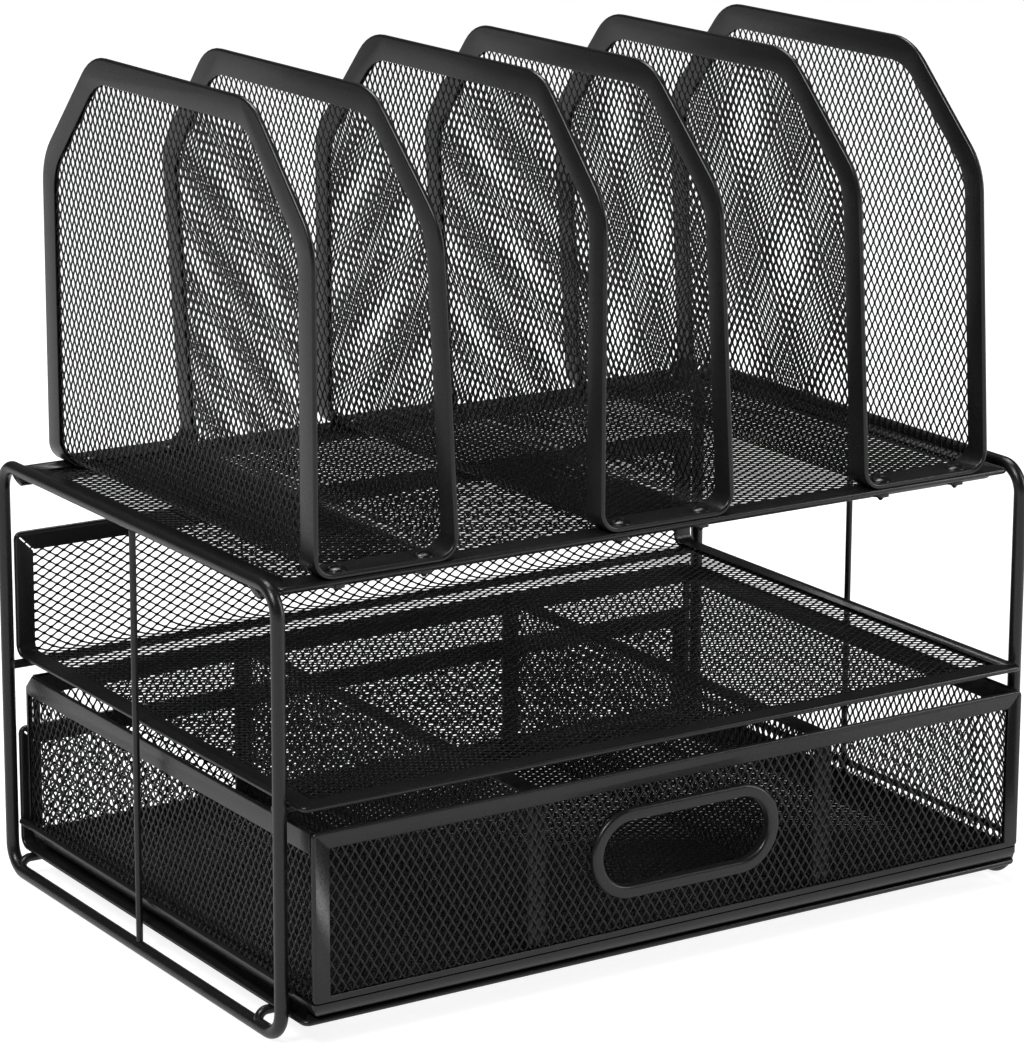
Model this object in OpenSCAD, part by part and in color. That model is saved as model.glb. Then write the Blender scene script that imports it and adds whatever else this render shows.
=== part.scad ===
// Desk organizer of black coated steel: two wire side frames carry a base tray, a middle shelf and
// a top shelf of expanded steel mesh. A mesh drawer slides out of the base tray, and three U-shaped
// mesh holders screwed to the top shelf make five upright sections.
// The frame stands on z = 0, its middle is at x = 0 and y = 0, and the drawer opens towards -y.
// Every mesh sheet is drawn as a plain thin sheet without its fine diamond openings.

/* [Side frames] */
// Overall width across the two side frames
organizer_w = 327; // [300:1:370]
// Outside depth of a side frame
frame_d = 215; // [205:1:250]
// Outside height of a side frame
frame_h = 165.5; // [150:0.5:200]
// Diameter of the frame wire
frame_wire = 5; // [4:0.5:7]
// Radius of the frame's corners, at the middle of the wire
frame_bend = 10; // [8:1:20]
// How far the drawer's handle stands out in front of the front legs
front_overhang = 11; // [9:0.5:16]

/* [Thin wires] */
// Diameter of the upright and of the guard wire on each side
thin_wire = 2.5; // [2:0.25:3]
// Height of the guard wire beside the drawer, at its middle
guard_z = 20; // [19.5:0.5:60]
// Diameter of the cross wires under the base tray and the middle shelf
cross_wire = 3.4; // [3:0.2:4]
// Diameter of the two cross bars under the top shelf
top_bar = 5; // [4:0.5:6]
// How far the slanted cut at the end of a top cross bar reaches in
top_bar_cut = 3; // [1:0.5:4]
// Distance of the front top cross bar behind the front legs
top_bar_front = 18; // [16:1:30]
// Distance of the rear top cross bar in front of the back legs
top_bar_rear = 9; // [6:0.5:9.5]
// Distance of the front base cross wire behind the front legs
base_wire_front = 16.5; // [14:0.5:40]
// Distance of the rear base cross wire in front of the back legs
base_wire_rear = 7.5; // [7:0.5:40]
// Radius of the bends that turn the ends of a base cross wire down on to the side frames
hook_bend = 3.4; // [3:0.2:4.2]

/* [Sheets and hems] */
// Thickness of the expanded mesh sheets
mesh_t = 0.8; // [0.6:0.1:1.2]
// Thickness of the folded steel strip that hems a mesh sheet
hem_t = 2; // [1.8:0.1:2.6]
// Solid fold at the outer edge of a hem, past the edge of the mesh
hem_fold = 1.5; // [1:0.25:2.5]
// Air round a mesh sheet inside its hem
hem_play = 0.1; // [0.05:0.05:0.2]

/* [Base tray and middle shelf] */
// Height of the underside of the base tray
base_z = 9; // [8.6:0.2:12]
// Height of the underside of the middle shelf
middle_z = 86.2; // [84:0.2:100]
// Air between a tray and the legs on each side
tray_play = 1.2; // [1:0.2:2.5]
// Distance of a tray's front edge behind the front of the drawer handle
tray_setback = 4; // [3:0.5:6]
// Distance of a tray's back panel in front of the back of the frame
tray_back_inset = 1.5; // [1:0.5:3]
// Height of the tray's back panel over the underside of the tray
tray_back_h = 49; // [30:1:60]
// Radius of the bend between floor and back panel, at the middle of the sheet
tray_bend = 4; // [3:0.5:6]
// Width of the hems on the sides, the back and the middle shelf's front
tray_hem = 7.6; // [6:0.2:12]
// Width of the base tray's front hem
base_front_hem = 10.5; // [8:0.5:16]
// Radius of a tray's outer corners
tray_corner = 3; // [2:0.5:5]
// Width of the open mitre seam at the top corners of a back panel
seam_w = 0.7; // [0.4:0.1:1.2]

/* [Top shelf] */
// Depth of the top shelf, and of the holders that stand on it
shelf_d = 201; // [195:1:201]
// Distance of the top shelf's front edge behind the middle of the front legs
shelf_inset = 3.5; // [2:0.5:4]
// Air between the top shelf and the frames on each side
shelf_play = 0.4; // [0.2:0.1:0.8]
// Width of the top shelf's front and back hems
shelf_hem = 10.5; // [9:0.5:14]
// Width of the top shelf's side hems
shelf_side_hem = 7.5; // [6:0.5:10]

/* [Upright holders] */
// Number of U-shaped holders side by side
holder_n = 3; // [3]
// Distance of the outer holders from the ends of the top shelf, when the row is in the middle
holder_margin = 13.1; // [12:0.1:20]
// How far the row of holders stands to the right of the middle
holder_offset = 1.5; // [-2:0.5:2]
// Distance between the two uprights of a holder, at the bottom
holder_w = 56; // [50:1:62]
// Height of the uprights over the top shelf
holder_h = 160; // [120:0.5:200]
// Radius of the bend at the foot of an upright, at the middle of the sheet
holder_bend = 7; // [5:0.5:9]
// Length of the slanted top corners along the depth
chamfer_y = 41; // [30:1:60]
// Height of the slanted top corners
chamfer_z = 43; // [25:1:60]
// Radius that rounds each end of a slanted corner
chamfer_round = 24; // [16:1:28]
// Width of the hem round the uprights
upright_hem = 9.6; // [8:0.2:14]
// Width of the hem along the front of a holder's floor
foot_hem = 13; // [12:0.5:18]
// Width of the hem along the back of a holder's floor
rear_foot_hem = 15; // [14.5:0.5:18]
// Inward lean of the left upright of each holder, in degrees
left_leans = [0, 0, -3.3];
// Inward lean of the right upright of each holder, in degrees
right_leans = [3.2, 3.5, 3.1];

/* [Screws] */
// Diameter of the screws that hold the holders to the top shelf
screw_d = 4; // [3:0.5:4]
// Diameter of the domed screw heads
head_d = 8; // [6:0.5:8]
// Height of the domed screw heads
head_h = 2.4; // [1.6:0.2:3]
// Width of the slot in a screw head
slot_w = 1; // [0.8:0.1:1.2]
// Length of a screw under its head
screw_l = 8.6; // [8:0.2:14]
// Height of the pointed end of a screw
screw_tip = 2.4; // [1:0.2:2.6]
// Width across the flats of the nuts
nut_af = 7; // [5.5:0.5:7]
// Thickness of the nuts
nut_h = 3.2; // [2:0.2:3.6]
// Distance of each screw from the middle of its holder
screw_x = 17.5; // [12:0.5:18]
// Distance of the front screws behind the front edge of the shelf
screw_front = 5.2; // [5:0.1:6]
// Distance of the rear screws in front of the back edge of the shelf
screw_rear = 10.8; // [9.8:0.1:11]
// Air round a screw in its holes
hole_play = 0.25; // [0.1:0.05:0.4]
// Air between a screw and its nut
thread_play = 0.03; // [0.02:0.01:0.05]

/* [Drawer] */
// Air between the drawer's widest part and the frame wires beside it, on each side
drawer_play = 0.9; // [0.5:0.1:2]
// Air under the drawer
drawer_lift = 0.3; // [0.2:0.1:1]
// Height of the drawer's top edge
drawer_top = 79.5; // [60:0.5:80]
// Air between the closed drawer and the base tray's back panel
drawer_back_play = 1; // [0.5:0.5:4]
// How far the drawer's sides run on behind its rear wall
side_overrun = 2.5; // [1:0.5:5]
// Size of the slanted cut at the top rear corner of each side
side_chamfer = 5; // [2:0.5:7]
// Width of the fold down the rear edge of a side and the edges of the rear wall
edge_hem = 2; // [1.8:0.1:4]
// How far the handle ring stands out from the drawer's front
handle_proud = 1.2; // [0.8:0.1:1.6]
// Outer radius of the drawer's rounded bottom edges
bottom_round = 6; // [5:0.5:6.5]
// Thickness of the strip along the bottom edges
bottom_strip_t = 1.2; // [1:0.1:1.4]
// Width of the strip under the edge of the floor mesh
bottom_strip_w = 14; // [12:0.5:20]
// Radius of the drawer's rear corners along its bottom, seen from above
drawer_corner = 3; // [2:0.5:6]
// Height of the hem round the sides and back
drawer_hem = 8; // [6:0.5:10]
// Width of the top hem of the drawer's front
front_top_hem = 6.3; // [5:0.1:9]
// Width of the side hems of the drawer's front
front_side_hem = 6.5; // [5:0.1:9]
// Width of the bottom hem of the drawer's front
front_bottom_hem = 2.6; // [2.5:0.1:5]
// Radius of the outer corners of the drawer's front
front_corner = 2; // [1:0.5:3]

/* [Handle] */
// Outer width of the handle ring
handle_w = 82; // [70:1:110]
// Outer height of the handle ring
handle_h = 34; // [28:1:40]
// Width of the ring between its outer edge and the opening
handle_ring_w = 4.8; // [4:0.2:7]
// Wall of the collar that passes through the mesh
collar_t = 1; // [0.8:0.1:1.5]
// How much narrower the ring's rear flange is than the front one, at the edge
rear_flange_step = 1.2; // [0.6:0.2:2]
// Thickness of the ring's rear flange
rear_flange_t = 1; // [0.8:0.1:1.5]
// Air between the collar and the mesh
collar_play = 0.1; // [0.05:0.05:0.2]

/* [Drawer partitions] */
// Distance of each partition from the middle of the drawer
partition_x = 62.8; // [40:1:90]
// Width of the strip over the top and down the ends of a partition
partition_strip = 7.5; // [5:0.5:10]
// Thickness of that strip
partition_strip_t = 1.2; // [1:0.1:1.6]
// Distance of a partition's top below the drawer's top edge
partition_drop = 2; // [1:0.5:20]

/* [Hidden] */
$fn = 64;
coat = [0.13, 0.13, 0.135];
mesh_coat = [0.2, 0.2, 0.21];
steel = [0.3, 0.3, 0.31];
// Oversize of a cutter past the face that it cuts
past = 1;
// Straight steps in each rounded corner of an outline
corner_steps = 6;
// Straight steps in the bend of a holder's sheet
bend_steps = 10;

overall_d = frame_d + front_overhang;
front_y = -overall_d / 2;
frame_x = organizer_w / 2 - frame_wire / 2;
inner_x = frame_x - frame_wire / 2;
back_leg_y = overall_d / 2 - frame_wire / 2;
front_leg_y = back_leg_y - frame_d + frame_wire;
frame_mid_y = (front_leg_y + back_leg_y) / 2;
loop_h = frame_h - frame_wire;
wire_axis_z = frame_wire / 2;
shelf_z = frame_h - frame_wire;

cross_front_y = front_leg_y + frame_wire / 2 + cross_wire / 2;
cross_rear_y = back_leg_y - frame_wire / 2 - cross_wire / 2;
base_wire_z = base_z - cross_wire / 2;

tray_half = inner_x - tray_play;
tray_front = front_y + tray_setback;
tray_back = overall_d / 2 - tray_back_inset;
seam_l = tray_hem * sqrt(2);

shelf_half = inner_x - shelf_play;
shelf_front = front_leg_y + shelf_inset;
shelf_back = shelf_front + shelf_d;
shelf_mid_y = (shelf_front + shelf_back) / 2;
holder_z = shelf_z + hem_t;
holder_pitch = (2 * (shelf_half - holder_margin) - holder_w) / (holder_n - 1);

drawer_front = front_y + handle_proud;
drawer_half = inner_x - thin_wire - drawer_play;
drawer_back = tray_back - hem_t - drawer_back_play;
drawer_rear = drawer_back - side_overrun;
rear_half = drawer_half - hem_t;
drawer_z = base_z + hem_t + drawer_lift;
wall_z = drawer_z + bottom_round;
floor_top = drawer_z + bottom_strip_t + mesh_t;
mesh_in = hem_t / 2 - mesh_t / 2;
wall_front = drawer_front + hem_t;
handle_z = (wall_z + drawer_top) / 2;
partition_top = drawer_top - partition_drop;
partition_front = wall_front;
partition_back = drawer_rear - hem_t;

// Points along an arc about c, from angle a0 to a1
function arc_points(c, r, a0, a1, n) =
    [for (i = [0:n]) c + r * [cos(a0 + (a1 - a0) * i / n), sin(a0 + (a1 - a0) * i / n)]];

function turn(a) = a > 180 ? a - 360 : a < -180 ? a + 360 : a;

// The rounded corner at b between a and c
function corner_points(a, b, c, r, n) =
    r <= 0 ? [b] :
    let (u = (a - b) / norm(a - b))
    let (v = (c - b) / norm(c - b))
    let (half = acos(u * v) / 2)
    let (m = b + (u + v) / norm(u + v) * r / sin(half))
    let (p = b + u * r / tan(half))
    let (q = b + v * r / tan(half))
    let (a0 = atan2(p[1] - m[1], p[0] - m[0]))
    let (sweep = turn(atan2(q[1] - m[1], q[0] - m[0]) - a0))
    arc_points(m, r, a0, a0 + sweep, n);

// An outline with every corner rounded by its own radius
function rounded(points, radii) =
    let (n = len(points))
    [for (i = [0:n - 1])
        each corner_points(points[(i + n - 1) % n], points[i], points[(i + 1) % n],
                           radii[i], corner_steps)];

// Side outline of a holder, drawn in by a distance, as (y, z) about its middle
function holder_outline(inset) =
    let (half = shelf_d / 2)
    let (slant = norm([chamfer_y, chamfer_z]))
    let (low = holder_h - chamfer_z + inset * (chamfer_z - slant) / chamfer_y)
    let (in = half - chamfer_y - inset * (slant - chamfer_y) / chamfer_z)
    let (r = chamfer_round - inset / 2)
    rounded([[-half + inset, -past], [-half + inset, low], [-in, holder_h - inset],
             [in, holder_h - inset], [half - inset, low], [half - inset, -past]],
            [0, r, r, r, r, 0]);

// Opening inside a holder's hem, wider hems along its foot
function holder_window() =
    let (half = shelf_d / 2)
    let (inner = holder_outline(upright_hem))
    let (front = -half + foot_hem)
    let (rear = half - rear_foot_hem)
    concat([[front, -past], [front, hem_t], [-half + upright_hem, holder_bend + hem_t]],
           [for (i = [1:len(inner) - 2]) inner[i]],
           [[half - upright_hem, holder_bend + hem_t], [rear, hem_t], [rear, -past]]);

// A prism along x over a (y, z) outline
module prism_x(points, half) {
    rotate([90, 0, 90])
        translate([0, 0, -half])
            linear_extrude(2 * half) polygon(points);
}

// A prism along y over an (x, z) outline, from y0 to y1
module prism_y(points, y0, y1) {
    translate([0, y1, 0])
        rotate([90, 0, 0])
            linear_extrude(y1 - y0) polygon(points);
}

// A straight round wire along x, y or z
module wire_x(x0, x1, d) {
    translate([x0, 0, 0])
        rotate([0, 90, 0]) cylinder(d = d, h = x1 - x0);
}

module wire_y(y0, y1, d) {
    translate([0, y1, 0])
        rotate([90, 0, 0]) cylinder(d = d, h = y1 - y0);
}

// A quarter bend of round wire in the xy plane, from angle a
module wire_bend(r, d, a) {
    rotate([0, 0, a])
        rotate_extrude(angle = 90) translate([r, 0]) circle(d = d);
}

// A closed loop of wire in the xy plane, standing on y = 0 at its middle line
module wire_loop(w, h, d, r) {
    for (side = [-1, 1])
        translate([side * w / 2, 0, 0]) wire_y(r, h - r, d);
    for (y = [0, h])
        translate([0, y, 0]) wire_x(-w / 2 + r, w / 2 - r, d);
    translate([w / 2 - r, h - r, 0]) wire_bend(r, d, 0);
    translate([-w / 2 + r, h - r, 0]) wire_bend(r, d, 90);
    translate([-w / 2 + r, r, 0]) wire_bend(r, d, 180);
    translate([w / 2 - r, r, 0]) wire_bend(r, d, 270);
}

module side_frame(side) {
    color(coat)
        translate([side * frame_x, frame_mid_y, wire_axis_z])
            rotate([90, 0, 90])
                wire_loop(frame_d - frame_wire, loop_h, frame_wire, frame_bend);
}

// Thin upright welded between the bottom and the top of a side frame
module upright_wire(side) {
    color(coat)
        translate([side * frame_x, frame_mid_y, frame_wire])
            cylinder(d = thin_wire, h = frame_h - 2 * frame_wire);
}

// Thin wire that keeps the drawer from sliding out sideways, welded inside the front leg and on to
// the base tray's back panel
module guard_wire(side) {
    color(coat)
        translate([side * (inner_x - thin_wire / 2), 0, guard_z])
            wire_y(front_leg_y - thin_wire / 2, tray_back - hem_t, thin_wire);
}

// Wire under the base tray, its ends bent down and welded on to the bottom of the side frames
module base_wire(y) {
    flat = frame_x - hook_bend;
    color(coat)
        difference() {
            translate([0, y, base_wire_z - hook_bend]) {
                translate([0, 0, hook_bend]) wire_x(-flat, flat, cross_wire);
                for (side = [0, 1])
                    mirror([side, 0, 0])
                        translate([flat, 0, 0])
                            rotate([90, 0, 0]) wire_bend(hook_bend, cross_wire, 0);
            }
            side_frame(-1);
            side_frame(1);
        }
}

// Straight wire under the middle shelf, welded across two legs
module middle_wire(y) {
    color(coat)
        translate([0, y, middle_z - cross_wire / 2])
            wire_x(-frame_x, frame_x, cross_wire);
}

// Thicker bar under the top shelf, its ends cut on a slant under the top of the side frames
module top_bar_at(y) {
    end_x = frame_x;
    color(coat)
        translate([0, y, shelf_z - top_bar / 2])
            difference() {
                wire_x(-end_x, end_x, top_bar);
                for (side = [-1, 1])
                    prism_y([[side * end_x, top_bar / 2],
                             [side * (end_x - top_bar_cut), -top_bar / 2 - past / 8],
                             [side * (end_x + past), -top_bar / 2 - past / 8],
                             [side * (end_x + past), top_bar / 2]],
                            -top_bar, top_bar);
            }
}

// The L-shaped sheet of a tray, its middle plane hem_t / 2 over the underside
module tray_sheet(t, half) {
    bend_y = tray_back - hem_t / 2 - tray_bend;
    bend_z = hem_t / 2 + tray_bend;
    translate([-half, tray_front, hem_t / 2 - t / 2])
        cube([2 * half, bend_y - tray_front, t]);
    translate([-half, tray_back - hem_t / 2 - t / 2, bend_z])
        cube([2 * half, t, tray_back_h - bend_z]);
    translate([-half, bend_y, bend_z])
        rotate([90, 0, 90])
            rotate([0, 0, 270])
                rotate_extrude(angle = 90)
                    translate([tray_bend - t / 2, 0]) square([t, 2 * half]);
}

// What a tray keeps when its outline is drawn in: rounded front and top corners
module tray_outline(inset) {
    half = tray_half - inset;
    r = tray_corner - inset;
    intersection() {
        translate([0, 0, -past])
            linear_extrude(tray_back_h + 2 * past)
                polygon(rounded([[-half, tray_front + inset], [half, tray_front + inset],
                                 [half, tray_back + past], [-half, tray_back + past]],
                                [r, r, 0, 0]));
        prism_y(rounded([[-half, -past], [half, -past], [half, tray_back_h - inset],
                         [-half, tray_back_h - inset]], [0, 0, r, r]),
                tray_front - past, tray_back + past);
    }
}

// The openings that a tray's hem leaves in its floor and its back panel
module tray_window(front_hem) {
    half = tray_half - tray_hem;
    bend_y = tray_back - hem_t / 2 - tray_bend;
    translate([-half, tray_front + front_hem, -past])
        cube([2 * half, overall_d, tray_bend + hem_t + past]);
    translate([-half, bend_y, -past])
        cube([2 * half, overall_d, tray_back_h - tray_hem + past]);
}

// The open mitre seams at the two top corners of a back panel
module tray_seams() {
    for (side = [0, 1])
        mirror([side, 0, 0])
            translate([tray_half - tray_hem, tray_back - hem_t / 2, tray_back_h - tray_hem])
                rotate([0, -45, 0])
                    translate([-seam_w, -hem_t, -seam_w / 2])
                        cube([seam_l - 2 * hem_fold + seam_w, 2 * hem_t, seam_w]);
}

module tray_mesh() {
    color(mesh_coat)
        intersection() {
            tray_sheet(mesh_t, tray_half);
            tray_outline(hem_fold + hem_play);
        }
}

module tray_hem_frame(front_hem) {
    color(coat)
        difference() {
            intersection() {
                tray_sheet(hem_t, tray_half);
                tray_outline(0);
            }
            tray_window(front_hem);
            intersection() {
                tray_sheet(mesh_t + 2 * hem_play, tray_half);
                tray_outline(hem_fold);
            }
            tray_seams();
        }
}

// The flat top shelf, drawn in by a distance
module shelf_plate(inset, t) {
    half = shelf_half - inset;
    r = tray_corner - inset;
    translate([0, 0, shelf_z + hem_t / 2 - t / 2])
        linear_extrude(t)
            polygon(rounded([[-half, shelf_front + inset], [half, shelf_front + inset],
                             [half, shelf_back - inset], [-half, shelf_back - inset]],
                            [r, r, r, r]));
}

// Places its children at every screw
module at_screws() {
    for (i = [0:holder_n - 1])
        for (side = [-1, 1])
            for (y = [shelf_front + screw_front, shelf_back - screw_rear])
                translate([holder_x(i) + side * screw_x, y, 0]) children();
}

// Middle of a holder across the shelf
function holder_x(i) = holder_offset + (i - (holder_n - 1) / 2) * holder_pitch;

module screw_holes() {
    at_screws()
        translate([0, 0, shelf_z - past])
            cylinder(d = screw_d + 2 * hole_play, h = 2 * hem_t + 2 * past);
}

module top_shelf_mesh() {
    color(mesh_coat)
        difference() {
            shelf_plate(hem_fold + hem_play, mesh_t);
            screw_holes();
        }
}

module top_shelf_hem() {
    window_w = 2 * (shelf_half - shelf_side_hem);
    color(coat)
        difference() {
            shelf_plate(0, hem_t);
            translate([-window_w / 2, shelf_front + shelf_hem, shelf_z - past])
                cube([window_w, shelf_d - 2 * shelf_hem, hem_t + 2 * past]);
            shelf_plate(hem_fold, mesh_t + 2 * hem_play);
            screw_holes();
        }
}

// One face of a holder's bent sheet on the right, as (x, z), a distance out from its middle
function holder_face(out, lean) =
    let (c = [holder_w / 2 - holder_bend, hem_t / 2 + holder_bend])
    let (along = [-sin(lean), cos(lean)] * (holder_h + past))
    let (arc = arc_points(c, holder_bend + out, -90, lean, bend_steps))
    concat(arc, [arc[bend_steps] + along]);

// The cross-section of a holder's sheet, from the left upright's top to the right one's
function holder_section(t, i) =
    let (outer = holder_face(t / 2, right_leans[i]))
    let (inner = holder_face(-t / 2, right_leans[i]))
    let (outer_left = holder_face(t / 2, left_leans[i]))
    let (inner_left = holder_face(-t / 2, left_leans[i]))
    concat(outer, backward(inner), mirrored(inner_left), backward(mirrored(outer_left)));

function backward(points) = [for (i = [len(points) - 1:-1:0]) points[i]];

function mirrored(points) = [for (p = points) [-p[0], p[1]]];

// The whole U-shaped sheet of a holder
module holder_sheet(t, i) {
    prism_y(holder_section(t, i), -shelf_d / 2, shelf_d / 2);
}

module holder_at(i) {
    translate([holder_x(i), shelf_mid_y, holder_z]) children();
}

module holder_mesh(i) {
    color(mesh_coat)
        difference() {
            holder_at(i)
                intersection() {
                    holder_sheet(mesh_t, i);
                    prism_x(holder_outline(hem_fold + hem_play), holder_w);
                }
            screw_holes();
        }
}

module holder_hem(i) {
    color(coat)
        difference() {
            holder_at(i)
                difference() {
                    intersection() {
                        holder_sheet(hem_t, i);
                        prism_x(holder_outline(0), holder_w);
                    }
                    prism_x(holder_window(), holder_w);
                    intersection() {
                        holder_sheet(mesh_t + 2 * hem_play, i);
                        prism_x(holder_outline(hem_fold), holder_w);
                    }
                }
            screw_holes();
        }
}

// Slotted screws with domed heads and pointed ends
module holder_screws() {
    top = holder_z + hem_t;
    dome_r = (head_d * head_d / 4 + head_h * head_h) / (2 * head_h);
    color(steel)
        at_screws() {
            difference() {
                translate([0, 0, top])
                    intersection() {
                        cylinder(d = head_d, h = head_h);
                        translate([0, 0, head_h - dome_r]) sphere(r = dome_r);
                    }
                translate([-head_d, -slot_w / 2, top + head_h / 2])
                    cube([2 * head_d, slot_w, head_h]);
            }
            translate([0, 0, top - screw_l + screw_tip])
                cylinder(d = screw_d, h = screw_l - screw_tip);
            translate([0, 0, top - screw_l])
                cylinder(d1 = screw_d / 4, d2 = screw_d, h = screw_tip);
        }
}

module holder_nuts() {
    color(steel)
        at_screws()
            translate([0, 0, shelf_z - nut_h])
                difference() {
                    cylinder(d = nut_af / cos(30), h = nut_h, $fn = 6);
                    translate([0, 0, -past])
                        cylinder(d = screw_d + 2 * thread_play, h = nut_h + 2 * past);
                }
}

// A closed block with rounded bottom edges along its whole length in y
module trough_y(half, y0, y1, z, r, h) {
    translate([-half + r, y0, z]) cube([2 * half - 2 * r, y1 - y0, h]);
    translate([-half, y0, z + r]) cube([2 * half, y1 - y0, h - r]);
    for (side = [-1, 1])
        translate([side * (half - r), 0, z + r]) wire_y(y0, y1, 2 * r);
}

// The same along x
module trough_x(half, y0, y1, z, r, h) {
    translate([-half, y0 + r, z]) cube([2 * half, y1 - y0 - 2 * r, h]);
    translate([-half, y0, z + r]) cube([2 * half, y1 - y0, h - r]);
    for (y = [y0 + r, y1 - r])
        translate([0, y, z + r]) wire_x(-half, half, 2 * r);
}

// Plan outline of the drawer, drawn in by a distance: small front corners, rounder rear ones
module drawer_plan(inset, z, h) {
    half = drawer_half - inset;
    front = max(front_corner - inset, 0);
    rear = drawer_corner - inset;
    translate([0, 0, z])
        linear_extrude(h)
            polygon(rounded([[-half, drawer_front + inset], [half, drawer_front + inset],
                             [half, drawer_rear - inset], [-half, drawer_rear - inset]],
                            [front, front, rear, rear]));
}

// The drawer's outer shape near its bottom, drawn in by a distance
module drawer_tub(inset) {
    half = drawer_half - inset;
    y0 = drawer_front + inset;
    y1 = drawer_rear - inset;
    r = bottom_round - inset;
    z = drawer_z + inset;
    h = bottom_round + past;
    intersection() {
        trough_y(half, y0, y1, z, r, h);
        trough_x(half, y0, y1, z, r, h);
        drawer_plan(inset, z - past, h + 2 * past);
    }
}

// Rounded strip that joins the drawer's floor to its walls all round
module drawer_bottom_strip() {
    window_w = 2 * (drawer_half - bottom_strip_w);
    color(coat)
        difference() {
            drawer_tub(0);
            drawer_tub(bottom_strip_t);
            translate([-window_w / 2, drawer_front + bottom_strip_w, drawer_z - past])
                cube([window_w, drawer_rear - drawer_front - 2 * bottom_strip_w, 3 * past]);
            translate([-drawer_half - past, drawer_front - past, wall_z])
                cube([2 * drawer_half + 2 * past, overall_d, 2 * past]);
        }
}

module drawer_floor_mesh() {
    edge = bottom_round + hem_play;
    color(mesh_coat)
        translate([-drawer_half + edge, drawer_front + edge, drawer_z + bottom_strip_t])
            cube([2 * (drawer_half - edge), drawer_rear - drawer_front - 2 * edge, mesh_t]);
}

// Outline of a drawer side, drawn in from its top and its back, as (y, z)
function side_outline(inset) =
    let (back = drawer_back - inset)
    let (top = drawer_top - inset)
    let (cut = side_chamfer - inset * (2 - sqrt(2)))
    [[wall_front, wall_z], [back, wall_z], [back, top - cut], [back - cut, top],
     [wall_front, top]];

// A plate with a drawer side's outline, t thick, its middle in the middle of the hem
module side_plate(side, inset, t) {
    translate([side * (drawer_half - hem_t / 2), 0, 0]) prism_x(side_outline(inset), t / 2);
}

module drawer_side_mesh(side) {
    color(mesh_coat) side_plate(side, hem_fold + hem_play, mesh_t);
}

// Hem over the top edge of a drawer side, narrow down its rear edge
module drawer_side_hem(side) {
    color(coat)
        difference() {
            side_plate(side, 0, hem_t);
            translate([side * drawer_half - hem_t - past, wall_front - past, wall_z - past])
                cube([2 * hem_t + 2 * past, drawer_back - edge_hem - wall_front + past,
                      drawer_top - drawer_hem - wall_z + past]);
            side_plate(side, hem_fold, mesh_t + 2 * hem_play);
        }
}

// A plate with the rear wall's outline, drawn in from its top and its sides
module rear_plate(inset, t) {
    translate([-rear_half + inset, drawer_rear - hem_t / 2 - t / 2, wall_z])
        cube([2 * (rear_half - inset), t, drawer_top - inset - wall_z]);
}

module drawer_rear_mesh() {
    color(mesh_coat) rear_plate(hem_fold + hem_play, mesh_t);
}

module drawer_rear_hem() {
    window_w = 2 * (rear_half - edge_hem);
    color(coat)
        difference() {
            rear_plate(0, hem_t);
            translate([-window_w / 2, drawer_rear - hem_t - past, wall_z - past])
                cube([window_w, hem_t + 2 * past, drawer_top - drawer_hem - wall_z + past]);
            rear_plate(hem_fold, mesh_t + 2 * hem_play);
        }
}

// The flat front of the drawer, drawn in by a distance
module front_plate(inset, t) {
    half = drawer_half - inset;
    r = front_corner - inset;
    middle = drawer_front + hem_t / 2;
    prism_y(rounded([[-half, wall_z + inset], [half, wall_z + inset],
                     [half, drawer_top - inset], [-half, drawer_top - inset]],
                    [r, r, r, r]),
            middle - t / 2, middle + t / 2);
}

// A lying stadium shape through the drawer's front, from y0 to y1
module stadium(w, h, y0, y1) {
    translate([0, 0, handle_z]) {
        for (side = [-1, 1])
            translate([side * (w - h) / 2, 0, 0]) wire_y(y0, y1, h);
        translate([-(w - h) / 2, y0, -h / 2]) cube([w - h, y1 - y0, h]);
    }
}

module drawer_front_mesh() {
    ring_hole = handle_ring_w - collar_t - collar_play;
    color(mesh_coat)
        difference() {
            front_plate(hem_fold + hem_play, mesh_t);
            stadium(handle_w - 2 * ring_hole, handle_h - 2 * ring_hole,
                    drawer_front - past, wall_front + past);
        }
}

module drawer_front_hem() {
    window_w = 2 * (drawer_half - front_side_hem);
    color(coat)
        difference() {
            front_plate(0, hem_t);
            translate([-window_w / 2, drawer_front - past, wall_z + front_bottom_hem])
                cube([window_w, hem_t + 2 * past,
                      drawer_top - front_top_hem - wall_z - front_bottom_hem]);
            front_plate(hem_fold, mesh_t + 2 * hem_play);
        }
}

// Flanged ring that lines the handle opening, the mesh held between its two flanges
module drawer_handle_ring() {
    ring = handle_ring_w;
    collar = ring - collar_t;
    mesh_front = drawer_front + mesh_in;
    mesh_rear = mesh_front + mesh_t;
    step = 2 * rear_flange_step;
    color(coat)
        difference() {
            union() {
                stadium(handle_w, handle_h, front_y, mesh_front);
                stadium(handle_w - 2 * collar, handle_h - 2 * collar, front_y, mesh_rear);
                stadium(handle_w - step, handle_h - step, mesh_rear, mesh_rear + rear_flange_t);
            }
            stadium(handle_w - 2 * ring, handle_h - 2 * ring,
                    front_y - past, mesh_rear + rear_flange_t + past);
        }
}

module partition_mesh(side) {
    end = partition_strip_t;
    color(mesh_coat)
        translate([side * partition_x - mesh_t / 2, partition_front + end, floor_top])
            cube([mesh_t, partition_back - partition_front - 2 * end,
                  partition_top - end - floor_top]);
}

// Strip over a partition's top edge and down its two ends, welded to the drawer's walls
module partition_edge(side) {
    t = partition_strip_t;
    h = partition_top - floor_top;
    color(coat)
        difference() {
            translate([side * partition_x - partition_strip / 2, 0, floor_top]) {
                translate([0, partition_front, h - t])
                    cube([partition_strip, partition_back - partition_front, t]);
                for (y = [partition_front, partition_back - t])
                    translate([0, y, 0]) cube([partition_strip, t, h]);
            }
            drawer_bottom_strip();
        }
}

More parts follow.
